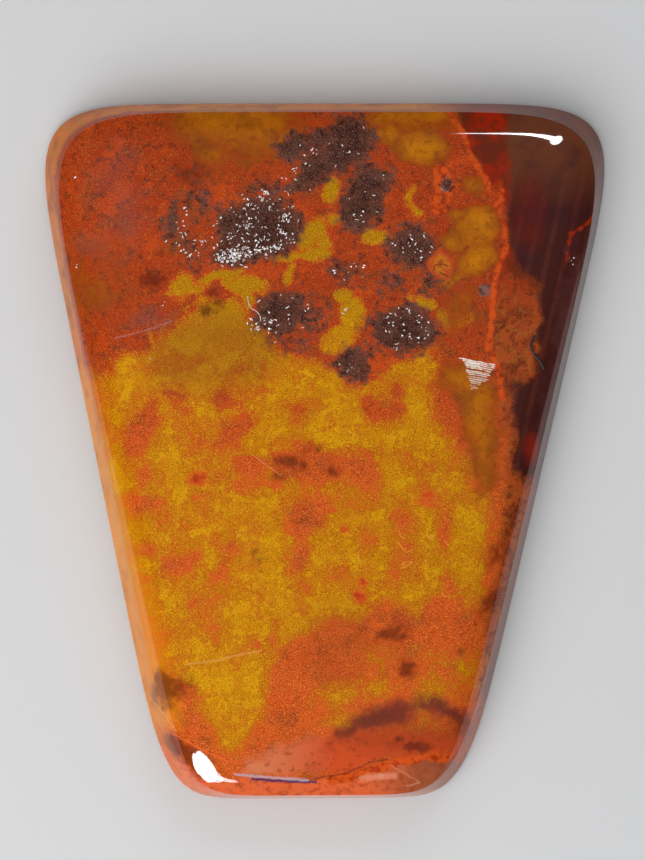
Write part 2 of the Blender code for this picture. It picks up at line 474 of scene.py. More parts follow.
# %% The clear zones
CLEAR_RED = [
    (6.5, 18.4), (7.3, 16.0), (8.5, 13.7), (9.1, 14.0), (9.4, 12.8), (9.4, 11.0), (8.9, 9.5), (8.7, 7.0),
    (8.5, 5.3), (8.7, 4.1), (9.2, 2.7), (9.3, 0.6), (9.2, -0.9), (9.4, -2.5), (9.1, -5.6), (8.6, -8.7),
    (8.0, -12.8), (16.3, -12.8), (16.3, 18.4),
]
CLEAR_DARK = [
    (9.5, 18.4), (9.4, 15.1), (9.5, 13.0), (9.6, 11.0), (9.9, 9.8), (10.3, 9.1), (10.9, 8.5), (11.1, 6.8),
    (11.0, 4.8), (10.6, 3.9), (10.0, 3.3), (9.7, 2.2), (9.9, 0.6), (9.7, -0.9), (10.3, -1.5), (11.2, -1.2),
    (16.3, -0.9), (16.3, 18.4),
]
HONEY_CELLS = [
    (-4.6, 17.1, 3.4, 1.9, -8, 4), (-5.6, 15.4, 1.1, 0.8, 0, 3), (-3.0, 16.4, 1.2, 0.6, 30, 3),
    (4.4, 17.3, 2.4, 0.9, 0, 2), (3.2, 16.4, 0.8, 0.6), (5.0, 15.7, 1.45, 1.0, -5),
    (7.85, 11.75, 1.3, 1.2, 20), (6.65, 11.05, 0.75, 0.65), (7.8, 9.95, 1.2, 0.95, 20),
    (6.9, 12.3, 0.5, 0.4), (6.5, 9.0, 0.7, 0.45, 30), (7.8, 13.8, 0.45, 0.4), (-11.8, 8.7, 0.9, 0.7, 0, 9),
    (-7.6, 10.9, 0.3, 0.3, 0, 3), (7.1, 7.6, 1.0, 0.6, 60, 5),
]
HONEY_SHORE = [
    (5.6, 3.4), (6.1, 4.5), (7.2, 4.6), (8.2, 4.0), (9.0, 3.3), (9.05, 1.2), (8.9, -1.3), (8.6, -2.2),
    (7.9, -2.4), (7.6, -1.2), (7.4, 0.2), (6.9, 1.4), (6.9, 2.6),
]
markings["clear_red"] = in_area(wandering, CLEAR_RED)
markings["clear_dark"] = in_area(wandering, CLEAR_DARK)
markings["honey"] = np.maximum(in_ovals(wandering, HONEY_CELLS), in_area(wandering, HONEY_SHORE) / 2.0)
print("clear zones:", list(markings)[1:])

# %% [markdown]
# ## Veins, dark spots, smudges and haze
# Thin orange veins mark old fronts. The dark spots are pockets of tiny crystals, fuzzy at the edge and
# full of glints. Smudges and the dark streak are plain dark red-brown without glints. Haze is a thin
# purple film over the colours, but along the right-hand side it is a painted reflection in the curve of
# the shoulder. A veil is a broad brown film, and the glow is painted light, a warmer yellow along the left
# edge. Two small cavities and a ring of orange lie between the pockets and the honey cells.

# %% Veins and spots
VEINS = [
    (0.24, (6.5, 17.4), (7.1, 16.6), (7.6, 15.2), (8.2, 14.3), (8.5, 13.6)),
    (0.28, (9.1, 13.6), (9.2, 13.0), (8.95, 12.7), (9.1, 12.2), (9.3, 11.6), (9.35, 10.4), (9.0, 9.6),
     (8.75, 8.3), (8.65, 6.8), (8.5, 5.3), (8.8, 4.5), (9.1, 3.7), (9.3, 2.7)),
    (0.11, (14.1, 15.1), (14.2, 14.2), (14.1, 12.9), (13.9, 12.2), (13.2, 11.6), (12.8, 11.2), (12.6, 10.5),
     (12.6, 9.8)),
    (0.42, (0.3, -17.1), (1.6, -16.85), (2.3, -16.5), (3.4, -16.3), (4.4, -16.0), (5.2, -15.8), (6.0, -15.95),
     (6.9, -15.8)),
    (0.9, (6.0, 14.4), (6.2, 13.6), (5.9, 12.8)),
]
DARK_SPOTS = [
    (1.0, 15.7, 1.75, 1.15, 55), (-0.4, 14.5, 1.5, 0.8, 35), (-1.6, 15.8, 0.85, 0.55, 10),
    (-0.2, 16.1, 0.8, 0.5, 20), (2.0, 13.2, 1.75, 1.05, 60), (4.5, 10.5, 1.3, 1.0, -15),
    (5.5, 9.1, 0.45, 0.45, 0, 2), (-2.2, 7.3, 1.35, 1.1, 20), (4.0, 6.3, 1.7, 1.15, -5),
    (1.4, 4.5, 0.95, 0.6, -20), (-3.4, 11.5, 2.2, 1.6, 10), (-4.9, 10.3, 0.9, 0.5),
]
SPECKLED = [
    (-1.3, 13.7, 0.9, 0.7, 20), (-1.5, 7.1, 1.7, 1.45, 10), (-3.3, 6.2, 0.7, 0.45, -20),
    (-1.4, 5.45, 0.6, 0.3, 10), (2.4, 5.2, 0.7, 0.4, 30), (0.2, 4.7, 0.4, 0.45), (-3.6, 13.2, 1.6, 0.9, 10),
    (-6.0, 10.1, 1.5, 0.85, 10), (-7.0, 11.9, 1.5, 2.2, 0, 1.8), (1.0, 9.3, 1.1, 0.85, -35),
    (3.6, 8.7, 0.9, 0.6),
]
SMUDGES = [
    (-8.9, 9.0, 0.75, 0.35, -5), (-6.2, 7.4, 0.28, 0.25), (-5.9, 8.2, 0.2, 0.2), (-5.4, 7.7, 0.25, 0.2),
    (-8.3, -12.3, 0.95, 0.75, 0, 2.5), (4.3, -11.3, 0.35, 0.3), (3.2, -9.4, 0.35, 0.2, 0, 2),
    (7.0, -10.4, 0.2, 0.15), (8.9, -5.6, 0.35, 0.3, 0, 2), (8.4, -8.0, 0.5, 0.3, 60, 2),
    (-3.4, -5.6, 0.2, 0.2, 0, 2), (4.8, -15.35, 0.8, 0.34), (6.1, 13.1, 0.2, 0.35),
    (3.9, -15.0, 0.35, 0.15, -10), (-7.0, 14.4, 0.6, 0.5, 0, 2.5), (-2.0, -0.5, 0.5, 0.13),
    (-1.1, -0.6, 0.15, 0.15), (-0.8, 0.2, 0.11, 0.11), (-0.4, 0.1, 0.11, 0.11), (0.3, -1.0, 0.25, 0.25),
    (-2.4, -1.2, 0.22, 0.1),
]
DARK_STREAK = [
    (0.6, (0.7, -14.8), (1.2, -14.75), (1.8, -14.3), (2.85, -13.8)),
    (1.05, (2.0, -14.15), (2.85, -13.8), (3.9, -13.5)),
    (0.75, (3.9, -13.45), (4.9, -13.2), (5.9, -13.25), (6.8, -13.75), (7.2, -14.1)),
]
RED_GLAZE = [
    (-2.3, -15.2), (-1.1, -14.95), (0.4, -14.7), (1.3, -14.9), (2.6, -14.6), (4.1, -14.4), (5.6, -14.5),
    (6.5, -14.7), (7.3, -14.3), (7.1, -15.8), (5.2, -15.8), (3.9, -16.0), (2.0, -16.3), (1.6, -16.8),
    (-4.3, -16.8), (-4.3, -16.1), (-3.5, -15.8),
]
BUBBLES = [
    (-6.62, -1.35, 0.46, 0.36, 25, 1.3), (1.08, -4.08, 0.22, 0.2), (1.94, -6.7, 0.17, 0.25, 20),
    (1.76, -7.55, 0.4, 0.33), (5.24, -2.48, 0.4, 0.36, 0, 3),
]
LEFT_CORNER = [
    (-8.8, -14.3), (-7.7, -14.8), (-6.5, -15.5), (-6.0, -15.9), (-6.6, -16.8), (-7.6, -15.8), (-8.7, -15.2),
]
# The long thin oval along the right-hand side is painted reflection: purple streaks in the curve of the
# shoulder
HAZES = [
    (-11.7, 10.6, 0.7, 0.3, 0, 2), (-9.0, 6.8, 0.9, 0.4, 12, 1.5), (-10.8, 13.9, 0.5, 0.9, 0, 2.5),
    (12.4, 5.0, 4.5, 0.4, 80, 2), (-11.0, 14.6, 1.2, 0.7, 60, 2), (-10.3, 12.3, 0.9, 1.6, 0, 2.5),
]
BROWN_VEILS = [(-5.7, 5.1, 3.8, 2.1, 10), (4.3, -14.8, 3.4, 1.2, 5), (0.9, -9.8, 1.8, 1.3, 0, 3)]
EYES = [(8.22, 8.33, 0.33, 0.33, 0), (6.28, 13.85, 0.36, 0.34, 0)]
RING = [(5.95, 9.65, 0.58, 0.66, 20)]
# Painted light: a warmer, brighter yellow along the left edge
EDGE_GLOW = [(2.6, (-12.9, 3.2), (-11.2, -4.0), (-8.6, -13.5))]
# The speckled areas only reach the level at which the noise lifts single grains into view
SPECKLE_SPREAD, SPECKLE_DEPTH, SPECKLE_LIMIT = 1.6, 0.35, -0.08
speckled = np.minimum(in_ovals(wandering, SPECKLED) / SPECKLE_SPREAD - SPECKLE_DEPTH, SPECKLE_LIMIT)
markings |= {
    "vein": on_strokes(wandered(0.5), VEINS),
    "spots": np.maximum(in_ovals(wandering, DARK_SPOTS), speckled),
    "smudge": np.maximum(in_ovals(seen, SMUDGES), in_area(seen, LEFT_CORNER)),
    "streak": on_strokes(wandered(0.3), DARK_STREAK),
    "glaze": in_area(wandered(0.6), RED_GLAZE),
    "bubble": in_ovals(wandered(0.3), BUBBLES),
    "haze": in_ovals(seen, HAZES),
    "veil": in_ovals(seen, BROWN_VEILS),
    "glow": on_strokes(seen, EDGE_GLOW),
    "ring": in_ovals(seen, RING),
    "eye": in_ovals(seen, EYES),
}
print(len(DARK_SPOTS), "dark spots and", len(SPECKLED), "speckled areas")

# %% [markdown]
# ## The clean band at the narrow end
# A healed crack runs along the narrow end, just inside the edge. Below it the stone is clean and bright
# orange-red, turning brown towards the right. With this the markings are complete, and each becomes an
# attribute of the stone's points. Two more tell how deep a point lies below the top of the girdle, where
# light is painted on the girdle, and where the polish begins.

# %% Below the crack
CRACK = [
    (-10.0, -14.6), (-8.7, -15.2), (-8.2, -15.4), (-7.6, -15.8), (-7.0, -16.3), (-6.5, -16.9),
    (-4.4, -16.9), (-2.3, -17.1), (-0.5, -17.1), (0.3, -17.0), (1.0, -16.85), (1.9, -16.6), (2.4, -16.45),
    (3.6, -16.15), (4.7, -15.95), (5.4, -15.85), (6.2, -16.0), (8.5, -15.9),
]
markings |= {
    # How deep a point lies below the top of the girdle, which places the girdle's painted light
    "girdle_depth": depth_in_rock[:, 0] * 2.0,
    "shine": (surface[:, 2] - GIRDLE_HEIGHT / MM) / 0.2,
    "clean_band": np.interp(seen[:, 0], *zip(*CRACK)) - seen[:, 1],
}
for name, depth in markings.items():
    layer = stone_mesh.attributes.new(name, "FLOAT", "POINT")
    layer.data.foreach_set("value", np.clip(depth, -2.0, 2.0).astype(np.float32))
seen_layer = stone_mesh.attributes.new("seen", "FLOAT_VECTOR", "POINT")
seen_points = np.column_stack([seen, np.zeros(len(seen))]).astype(np.float32)
seen_layer.data.foreach_set("vector", seen_points.ravel())
print({name: round(float((depth > 0).mean()), 3) for name, depth in markings.items()})

# %% [markdown]
# ## Pits in the polish
# The upper cavity, the hollow of the ring and a pit at the end of the right-hand vein reach the surface.
# Polishing leaves them open, so the points there are pressed in along with their rims. Each pit is
# given as its place, its half length and half width, and its depth.

# %% Press the pits in
PITS = [(6.3, 13.8, 0.42, 0.36, 0.08), (5.9, 9.6, 0.5, 0.3, 0.025), (12.85, 9.7, 0.28, 0.4, 0.1)]
pressed = surface.copy()
on_crown = surface[:, 2] > GIRDLE_HEIGHT / MM
for x, y, half_length, half_width, depth in PITS:
    reach = np.hypot((seen[:, 0] - x) / half_length, (seen[:, 1] - y) / half_width)
    pressed[:, 2] -= np.where(on_crown, depth * np.exp(-reach**4), 0.0)
stone_mesh.vertices.foreach_set("co", (pressed * MM).astype(np.float32).ravel())
stone_mesh.update()
print("deepest pit", round(float((surface - pressed)[:, 2].max()), 3), "mm")

# %% [markdown]
# ## Shared effects for the colours
# Three effects come back again and again, so each is a small node group. The first makes rock noise at
# three sizes at once. The second cuts a depth at zero with that noise on it, which gives a grainy edge.
# The third draws a fine line between two points.


# %% Node groups for the colours
NOISE_LABELS = ("Wander", "Cloud", "Clump", "Grain")


def paint(red, green, blue):
    """A colour as it looks on a screen, turned into the light it stands for."""
    shares = [part / 255 for part in (red, green, blue)]
    light = [share / 12.92 if share < 0.04045 else ((share + 0.055) / 1.055) ** 2.4 for share in shares]
    return (*light, 1.0)


def cloud(tree, place, scale, detail):
    """Three independent smooth noises about zero, as a vector."""
    made = add(tree, "ShaderNodeTexNoise", {"Vector": place, "Scale": scale, "Detail": detail})
    return vector_step(tree, "SUBTRACT", made.outputs["Color"], (0.5, 0.5, 0.5))


def rock_noise_group():
    """Clouds, clumps and grain, and the three added up as the amount by which an edge wanders."""
    kinds = {label: "NodeSocketVector" for label in NOISE_LABELS}
    inputs = {"Place": ("NodeSocketVector", None)}
    tree, given, result = new_group("rock noise", "ShaderNodeTree", inputs, kinds)
    broad = cloud(tree, given["Place"], 0.8, 2.0)
    clump = cloud(tree, given["Place"], 2.8, 3.0)
    grain = cloud(tree, given["Place"], 17.0, 0.0)
    wander = vector_step(tree, "SCALE", broad, scale=1.3)
    wander = vector_step(tree, "ADD", wander, vector_step(tree, "SCALE", clump, scale=0.8))
    wander = vector_step(tree, "ADD", wander, vector_step(tree, "SCALE", grain, scale=0.5))
    for label, value in zip(NOISE_LABELS, (wander, broad, clump, grain)):
        tree.links.new(value, result[label])
    return tree


def grainy_edge_group():
    inputs = {
        "Depth": ("NodeSocketFloat", 0.0),
        "Noise": ("NodeSocketFloat", 0.0),
        "Amount": ("NodeSocketFloat", 1.0),
        "Softness": ("NodeSocketFloat", 0.06),
    }
    tree, given, result = new_group("grainy edge", "ShaderNodeTree", inputs, {"Mask": "NodeSocketFloat"})
    depth = calc(tree, "MULTIPLY_ADD", given["Noise"], given["Amount"], given["Depth"])
    low = calc(tree, "MULTIPLY", given["Softness"], -1.0)
    tree.links.new(turned(tree, depth, low, given["Softness"], kind="SMOOTHSTEP"), result["Mask"])
    return tree


def fine_line_group():
    inputs = {
        "Place": ("NodeSocketVector", None),
        "Start": ("NodeSocketVector", None),
        "End": ("NodeSocketVector", None),
        "Width": ("NodeSocketFloat", 0.06),
    }
    tree, given, result = new_group("fine line", "ShaderNodeTree", inputs, {"Mask": "NodeSocketFloat"})
    run = vector_step(tree, "SUBTRACT", given["End"], given["Start"])
    from_start = vector_step(tree, "SUBTRACT", given["Place"], given["Start"])
    ahead = vector_measure(tree, "DOT_PRODUCT", from_start, run)
    length = vector_measure(tree, "DOT_PRODUCT", run, run)
    share = add(tree, "ShaderNodeClamp", {0: calc(tree, "DIVIDE", ahead, length)}).outputs[0]
    aside = vector_step(tree, "SUBTRACT", from_start, vector_step(tree, "SCALE", run, scale=share))
    distance = vector_measure(tree, "LENGTH", aside)
    half = calc(tree, "MULTIPLY", given["Width"], 0.5)
    mask = turned(tree, distance, calc(tree, "MULTIPLY", half, 1.5), calc(tree, "MULTIPLY", half, 0.5))
    tree.links.new(mask, result["Mask"])
    return tree


ROCK_NOISE, GRAINY_EDGE, FINE_LINE = rock_noise_group(), grainy_edge_group(), fine_line_group()
print("shared effects:", [group.name for group in (ROCK_NOISE, GRAINY_EDGE, FINE_LINE)])

# %% [markdown]
# ## Fine lines and ramps
# The fine lines come first, each with its shade, width, strength and points: cracks, curls, scratches
# and a few painted highlights. After them come the colours that change with the depth inside a marking,
# each with the depth at which it is full. Shades are written as they look on a screen.

# %% Fine lines and ramps of colour
LINES_AND_HIGHLIGHTS = [
    ((215, 150, 70), 0.1, 0.6, [(-7.2, -11.0), (-5.7, -10.8), (-4.4, -10.5), (-3.3, -10.3)]),
    ((220, 160, 90), 0.06, 0.5, [(-9.0, -12.4), (-8.5, -13.4), (-7.7, -14.5)]),
    ((225, 100, 45), 0.07, 0.9, [(-8.8, -14.2), (-7.7, -14.7), (-6.5, -15.4), (-5.4, -15.9), (-4.5, -16.2)]),
    ((175, 120, 110), 0.07, 0.5, [(-10.9, 5.9), (-9.3, 6.3), (-7.9, 6.8)]),
    ((225, 140, 90), 0.05, 0.6, [(-3.7, -0.2), (-2.3, -1.2)]),
    ((215, 140, 110), 0.06, 0.6, [(3.4, -16.3), (4.9, -17.2), (4.2, -17.4)]),
    ((60, 45, 90), 0.13, 0.9, [(-3.8, -16.97), (-2.3, -17.09), (-0.5, -17.15)]),
    # Painted highlight: the thin pale tail of the lamp's reflection at the narrow end
    ((185, 160, 170), 0.13, 0.75, [(-4.7, -16.72), (-3.3, -16.85), (-2.3, -16.96), (-0.9, -17.06)]),
    # Painted highlight: a pink spot of reflected light on the clean band
    ((226, 150, 118), 0.3, 0.5, [(1.9, -16.98), (2.9, -16.88), (3.6, -16.86)]),
    ((96, 34, 32), 0.1, 0.6, [(-0.5, -16.98), (1.0, -16.72), (1.8, -16.42), (2.3, -16.15), (3.2, -16.0)]),
    ((126, 50, 28), 0.09, 0.8, [(5.56, 9.36), (5.7, 9.65), (6.02, 9.72), (6.35, 9.63)]),
    ((110, 44, 30), 0.08, 0.8, [(5.95, 9.3), (6.1, 9.2), (6.3, 9.07)]),
    ((60, 26, 26), 0.16, 0.8, [(6.45, 13.5), (6.6, 13.68)]),
]
# Pale curls in the yellow
CURLS = [
    [(3.84, -4.08), (3.9, -4.38), (4.11, -4.5)], [(3.81, -4.73), (3.99, -5.03), (4.26, -5.21), (4.55, -5.09)],
    [(3.9, -6.04), (4.16, -5.98), (4.49, -5.74), (4.26, -5.68), (3.96, -5.86)], [(1.7, -5.27), (1.76, -5.62)],
    [(5.29, -4.26), (5.44, -4.5), (5.68, -4.31)], [(6.16, -4.61), (6.33, -4.82), (6.45, -4.85)],
    [(6.04, -7.35), (6.21, -7.52), (6.45, -7.46)], [(6.07, -2.95), (6.28, -3.01)],
]
LINES_AND_HIGHLIGHTS += [((234, 156, 58), 0.05, 0.7, stops) for stops in CURLS]
# Fine parallel scratches where the stone was knocked, drawn near white as painted glints of the light they
# catch: long at the top, short and faint below
SCRATCH_GLINT, SCRATCH_SLOPE, SCRATCHES, SHORT_SCRATCHES = (250, 244, 230), 0.19, 15, 4
jitter = random.Random(7)
for number in range(SCRATCHES):
    share = number / (SCRATCHES - 1)
    level = 4.86 - 1.62 * share - jitter.uniform(0.0, 0.03)
    left = 6.93 + 0.6 * share ** 0.5 + jitter.uniform(0.0, 0.12)
    right = 8.78 - 0.95 * share ** 2 - jitter.uniform(0.0, 0.35) * share ** 0.5
    stops = [(left, level), (right, level - (right - left) * SCRATCH_SLOPE)]
    LINES_AND_HIGHLIGHTS.append((SCRATCH_GLINT, jitter.uniform(0.045, 0.065), 0.95 - 0.6 * share, stops))
for number in range(SHORT_SCRATCHES):
    left = 7.0 + 0.07 * number + jitter.uniform(0.0, 0.1)
    right = left + jitter.uniform(0.6, 1.0)
    level = 4.8 - 0.115 * number
    stops = [(left, level), (right, level - (right - left) * SCRATCH_SLOPE)]
    LINES_AND_HIGHLIGHTS.append((SCRATCH_GLINT, 0.04, 0.75, stops))
print(len(LINES_AND_HIGHLIGHTS), "fine lines")

YELLOW_RAMP = [
    (-0.25, (194, 84, 24)), (-0.05, (196, 98, 20)), (0.08, (187, 106, 12)), (0.3, (190, 116, 8)),
    (0.55, (198, 130, 6)),
]
BUBBLE_RAMP = [(0.0, (216, 88, 34)), (0.12, (192, 66, 24)), (0.25, (158, 44, 16))]
RING_RAMP = [
    (-0.15, (176, 66, 28)), (0.0, (190, 78, 32)), (0.2, (186, 88, 32)), (0.36, (196, 116, 26)),
    (0.6, (160, 70, 30)),
]
SPOT_RAMP = [
    (-0.5, (150, 58, 28)), (-0.15, (118, 60, 40)), (0.1, (92, 54, 44)), (0.45, (76, 48, 40)),
    (0.9, (46, 32, 30)),
]
HONEY_RAMP = [(-0.1, (148, 68, 20)), (0.08, (157, 78, 19)), (0.3, (176, 96, 16)), (0.8, (194, 116, 14))]

# %% [markdown]
# ## The colours of the stone
# Nearly all the colours are made in one way: a base shade, and over it other shades wherever a noise is
# high. `mottled` does that, so each zone of the stone is one short list.


# %% Colours of each zone
Rock = namedtuple("Rock", "wander cloud clump grain x y")
# Each glow is given as its middle, its half width and half height, and its shade
RED_GLOWS = [(10.6, 12.4, 0.8, 1.8, (106, 28, 18)), (10.7, 0.1, 0.4, 0.8, (150, 36, 18))]


def attribute(tree, name, output="Fac"):
    """A value that was stored on the stone's points."""
    return add(tree, "ShaderNodeAttribute", attribute_name=name).outputs[output]


def cover(tree, below, above, mask):
    """One layer of colour laid over the colours so far."""
    return add(tree, "ShaderNodeMix", {0: mask, 6: below, 7: above}, data_type="RGBA").outputs[2]


def mottled(tree, colour, *layers):
    """Shades laid over a colour where a value is high: (value, from, to, strength, shade, where else)."""
    for value, low, high, strength, shade, *where in layers:
        mask = turned(tree, value, low, high, 0.0, strength)
        for limit in where:
            mask = calc(tree, "MULTIPLY", mask, limit)
        colour = cover(tree, colour, paint(*shade), mask)
    return colour


def roughened(tree, depth, *noises):
    """A depth with noises added to it, each given with its strength."""
    for rough, strength in noises:
        depth = calc(tree, "MULTIPLY_ADD", rough, strength, depth)
    return depth


def ramp(tree, value, stops):
    """Colours at given values, blended in between. The values run from -1 to 1."""
    made = add(tree, "ShaderNodeValToRGB", {"Fac": turned(tree, value, -1.0, 1.0)})
    elements = made.color_ramp.elements
    while len(elements) < len(stops):
        elements.new(1.0)
    for element, (at, shade) in zip(elements, stops):
        element.position = (at + 1.0) / 2.0
        element.color = paint(*shade)
    return made.outputs["Color"]


def ground_colour(tree, rock):
    """Red-orange: clouded and clumped at the wide end, lighter and stippled at the narrow end."""
    upper = turned(tree, rock.y, -2.0, 6.0)
    clumps, dark, light = [turned(tree, upper, 0.0, 1.0, lower_share, upper_share)
                           for lower_share, upper_share in ((0.3, 0.7), (0.7, 0.6), (0.75, 0.35))]
    return mottled(
        tree, paint(204, 83, 26),
        (upper, 0.0, 1.0, 1.0, (166, 54, 20)),
        (rock.cloud[0], 0.0, 0.16, 0.75, (142, 62, 28)),
        (rock.cloud[1], 0.02, 0.16, 0.55, (206, 74, 24)),
        (rock.clump[0], 0.04, 0.14, 1.0, (104, 42, 26), clumps),
        (rock.grain[0], 0.0, 0.25, 1.0, (96, 34, 14), dark),
        (rock.grain[1], 0.0, 0.25, 1.0, (236, 130, 54), light),
    )


def yellow_colour(tree, rock, below):
    """Mustard with a thin orange rim, crisp lemon and rusty patches in it and a fine brown stipple."""
    depth = roughened(tree, attribute(tree, "yellow"), (rock.wander[0], 1.0), (rock.grain[1], 0.5))
    lemon, rusty = [roughened(tree, rock.cloud[part], (rock.clump[part], 0.8)) for part in (1, 2)]
    gold = mottled(
        tree, ramp(tree, depth, YELLOW_RAMP),
        (lemon, 0.04, 0.08, 0.7, (212, 154, 6), turned(tree, depth, 0.1, 0.25)),
        (rusty, 0.06, 0.15, 0.7, (192, 92, 20)),
        (depth, 0.0, 0.2, 1.0, (172, 124, 8), turned(tree, rock.y, 5.0, 8.0, 0.0, 0.8)),
        (rock.grain[2], -0.02, 0.22, 0.72, (140, 68, 8)),
        (rock.grain[0], 0.03, 0.25, 0.5, (236, 176, 34)),
    )
    return cover(tree, below, gold, turned(tree, depth, -0.3, -0.05))


def honey_colour(tree, rock):
    """Smooth amber cells, olive in places, with a darker line where two cells meet."""
    depth = roughened(tree, attribute(tree, "honey"), (rock.clump[1], 0.4))
    return mottled(
        tree, ramp(tree, depth, HONEY_RAMP),
        (rock.cloud[0], 0.0, 0.18, 0.7, (140, 74, 20)),
        (rock.clump[2], 0.06, 0.12, 0.4, (122, 52, 16)),
        (rock.grain[1], 0.0, 0.25, 0.45, (110, 55, 15)),
    )


def clear_colour(tree, rock):
    """Clear red chalcedony: saturated at the wide end, brown, orange and olive further down."""
    lower = turned(tree, rock.y, 10.0, 7.0)
    return mottled(
        tree, paint(156, 70, 30),
        (rock.y, 6.0, 11.0, 1.0, (150, 36, 12)),
        (rock.cloud[0], -0.04, 0.12, 0.85, (92, 38, 22)),
        (rock.cloud[2], 0.02, 0.14, 0.6, (176, 72, 24), lower),
        (rock.clump[2], 0.02, 0.1, 0.7, (104, 40, 20)),
        (rock.clump[1], 0.05, 0.12, 0.55, (150, 92, 30), lower),
        (rock.grain[0], 0.04, 0.25, 0.5, (206, 100, 44), lower),
    )


def dark_colour(tree, rock):
    """Dark carnelian with faint painted reflection streaks along the side, red glows inside and brown at the
    corner.
    """
    # Painted reflection: faint lighter streaks parallel to the right-hand edge, where the shoulder curves
    slanted = calc(tree, "MULTIPLY_ADD", rock.y, -0.23, rock.x)
    sheen_streaks = calc(tree, "SINE", calc(tree, "MULTIPLY", slanted, 7.0))
    layers = [(rock.y, 12.5, 15.5, 1.0, (104, 56, 34)), (sheen_streaks, 0.2, 1.0, 0.35, (104, 52, 42))]
    for middle_x, middle_y, half_width, half_height, shade in RED_GLOWS:
        aside = calc(tree, "DIVIDE", calc(tree, "SUBTRACT", rock.x, middle_x), half_width)
        above = calc(tree, "DIVIDE", calc(tree, "SUBTRACT", rock.y, middle_y), half_height)
        away = calc(tree, "MULTIPLY_ADD", aside, aside, calc(tree, "MULTIPLY", above, above))
        layers.append((away, 1.8, 0.0, 0.7, shade))
    return mottled(tree, paint(68, 30, 24), *layers, (rock.cloud[1], 0.0, 0.2, 0.5, (60, 28, 34)))


def glaze_colour(tree, rock):
    """The film over the narrow end: pale beside the left corner, red further right."""
    return mottled(
        tree, paint(200, 72, 34),
        (rock.x, 0.5, -3.5, 1.0, (208, 122, 84)),
        (rock.cloud[1], 0.0, 0.16, 0.6, (150, 56, 34)),
        (rock.clump[1], 0.08, 0.16, 0.5, (110, 44, 30)),
    )


def band_colour(tree, rock):
    """The clean band below the crack."""
    return mottled(
        tree, paint(218, 98, 54),
        (rock.x, 2.0, 5.0, 1.0, (150, 80, 50)),
        (rock.clump[0], 0.0, 0.14, 0.6, (150, 60, 36)),
        (rock.cloud[1], 0.0, 0.16, 0.2, (214, 112, 70)),
    )


def vein_colour(tree, rock):
    """Orange, deeper red in places and all along the right-hand side."""
    return mottled(
        tree, paint(206, 80, 26),
        (rock.clump[0], -0.02, 0.12, 1.0, (164, 54, 18)),
        (rock.x, 11.0, 12.5, 1.0, (160, 44, 14)),
    )


def spot_colour(tree, rock, below):
    """Dark brown pockets of tiny crystals, which dissolve into red-brown grains at their rim."""
    noises = (rock.wander[2], 0.8), (rock.clump[0], 1.2), (rock.grain[0], 0.7)
    depth = roughened(tree, attribute(tree, "spots"), *noises)
    shade = mottled(
        tree, ramp(tree, depth, SPOT_RAMP),
        (rock.cloud[2], 0.0, 0.2, 0.6, (104, 72, 64)),
        (rock.clump[1], 0.0, 0.14, 0.85, (34, 20, 18)),
        (rock.grain[1], 0.0, 0.25, 0.65, (30, 18, 16)),
        (rock.grain[2], 0.05, 0.25, 0.5, (168, 112, 88)),
    )
    return cover(tree, below, shade, turned(tree, depth, -0.35, 0.0, 0.0, 0.95))


def ring_colour(tree, rock, below):
    """The ring, in zones of orange and red."""
    depth = roughened(tree, attribute(tree, "ring"), (rock.clump[1], 1.0))
    shade = mottled(tree, ramp(tree, depth, RING_RAMP), (rock.grain[1], 0.0, 0.25, 0.5, (120, 44, 24)))
    return cover(tree, below, shade, turned(tree, depth, -0.2, 0.05))


def eye_colour(tree, rock):
    """The lower cavity is mauve and the upper one brown, both grainy."""
    return mottled(
        tree, paint(126, 84, 76),
        (rock.y, 10.0, 12.0, 1.0, (84, 46, 36)),
        (rock.clump[1], -0.02, 0.12, 0.8, (60, 32, 30)),
        (rock.grain[0], 0.04, 0.2, 0.5, (150, 104, 92)),
    )


def lit_girdle_colour(tree, rock, below):
    """The girdle's own colour with painted light from the floor: honey on the left, dark on the right."""
    spots = mottled(tree, paint(222, 156, 52), (rock.x, 3.0, 6.0, 1.0, (126, 58, 34)))
    shade = mottled(
        tree, paint(232, 140, 32),
        (rock.x, 5.0, 8.0, 1.0, (98, 44, 30)),
        (rock.cloud[0], -0.02, 0.16, 0.6, (150, 62, 26)),
    )
    shade = cover(tree, shade, spots, turned(tree, rock.clump[0], 0.02, 0.14, 0.0, 0.5))
    strength = turned(tree, rock.y, -15.0, -12.0, 0.2, 0.55)
    mask = calc(tree, "MULTIPLY", turned(tree, attribute(tree, "girdle_depth"), 0.7, 1.7), strength)
    return cover(tree, below, shade, mask)


# %% [markdown]
# ## All the layers together
# The layers lie in the order in which they cover each other in the photo: the red-orange ground, the
# yellow and the painted glow at its left edge, the honey, the clear red and the dark chalcedony, the dark
# streak, the glaze, the bubbles and the brown veils, the clean band, the veins, the purple haze, the
# smudges, the dark spots, the ring, the cavities and the girdle with its painted light, and last the fine
# lines, a few of them painted highlights. The polish is full on the crown, weaker on the girdle and dull
# in the cavities.


# %% Put the colours together
QUARTZ_IOR = 1.54
CROWN_GLOSS, GIRDLE_GLOSS = 0.5, 0.12
POLISH_ROUGHNESS, CAVITY_ROUGHNESS = 0.04, 0.35
LINE_WAVINESS = 0.15


def laid(tree, below, name, shade, grain, amount, softness, strength=1.0):
    """A marking laid over the colours so far, with a grainy edge."""
    inputs = {"Depth": attribute(tree, name), "Noise": grain, "Amount": amount, "Softness": softness}
    mask = add(tree, "ShaderNodeGroup", inputs, node_tree=GRAINY_EDGE).outputs["Mask"]
    return cover(tree, below, shade, calc(tree, "MULTIPLY", mask, strength))


def film(tree, below, name, rough, amount, low, high, strength, shade):
    """A marking laid on as a thin even film, with a soft wandering edge."""
    depth = roughened(tree, attribute(tree, name), (rough, amount))
    return mottled(tree, below, (depth, low, high, strength, shade))


